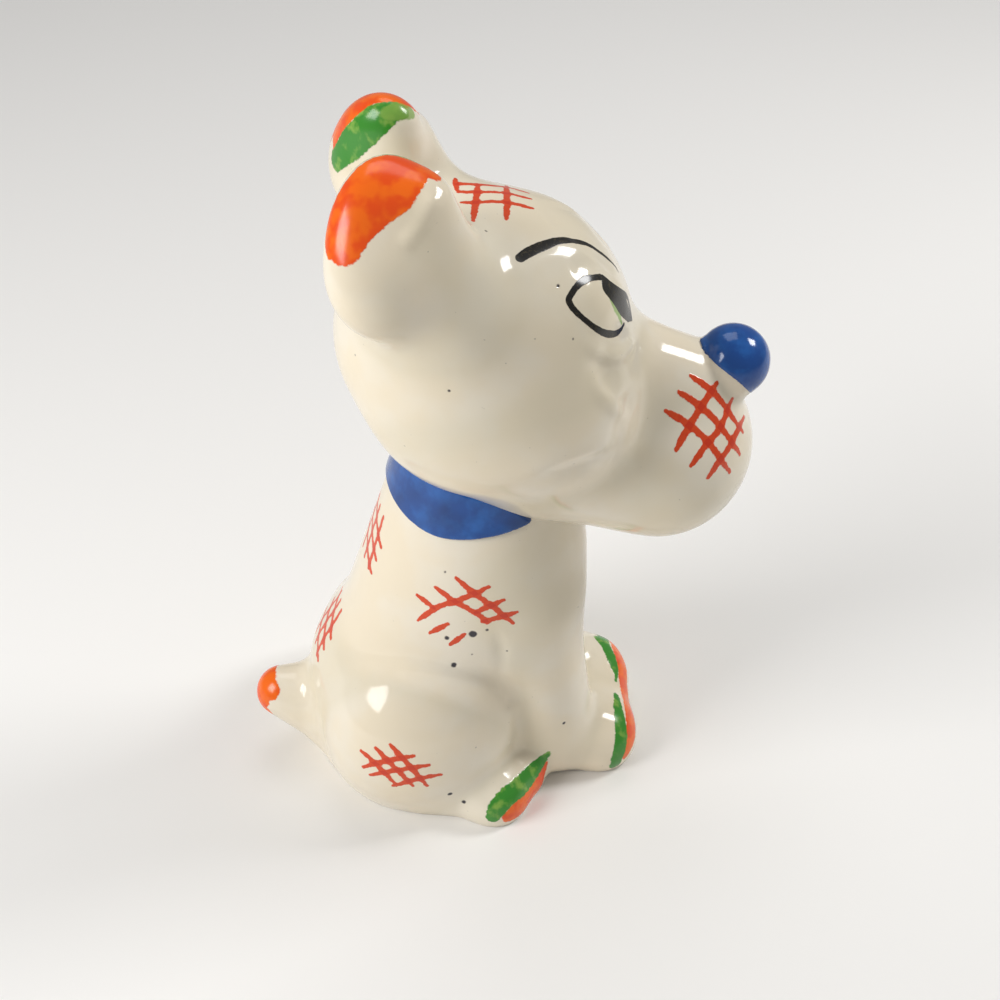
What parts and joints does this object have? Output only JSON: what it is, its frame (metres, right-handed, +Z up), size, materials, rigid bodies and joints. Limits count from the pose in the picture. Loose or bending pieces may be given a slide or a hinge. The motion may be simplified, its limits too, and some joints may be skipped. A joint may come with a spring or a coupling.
{
  "type": "porcelain dog figurine",
  "caption": "Sitting glazed porcelain dog with a round head, raised ears, ball nose, blue collar and painted crosshatch, standing on its flat foot.",
  "frame": {"origin": "on the ground, under the middle of the figurine's box", "axes": "+Z up through the ears, +X towards the nose, +Y to the dog's left"},
  "size_m": [0.0612, 0.0366, 0.0875],
  "materials": {
    "ivory_glaze": "glossy ivory glaze with orange, green, red and black painting",
    "cobalt_glaze": "glossy cobalt blue glaze"
  },
  "bodies": {
    "root": {"body_shell": "ivory_glaze", "head_shell": "ivory_glaze", "ear_right": "ivory_glaze", "ear_left": "ivory_glaze", "foreleg_right": "ivory_glaze", "foreleg_left": "ivory_glaze", "haunch_right": "ivory_glaze", "haunch_left": "ivory_glaze", "hind_paw_right": "ivory_glaze", "hind_paw_left": "ivory_glaze", "tail": "ivory_glaze", "nose": "cobalt_glaze", "collar": "cobalt_glaze"}
  },
  "joints": []
}
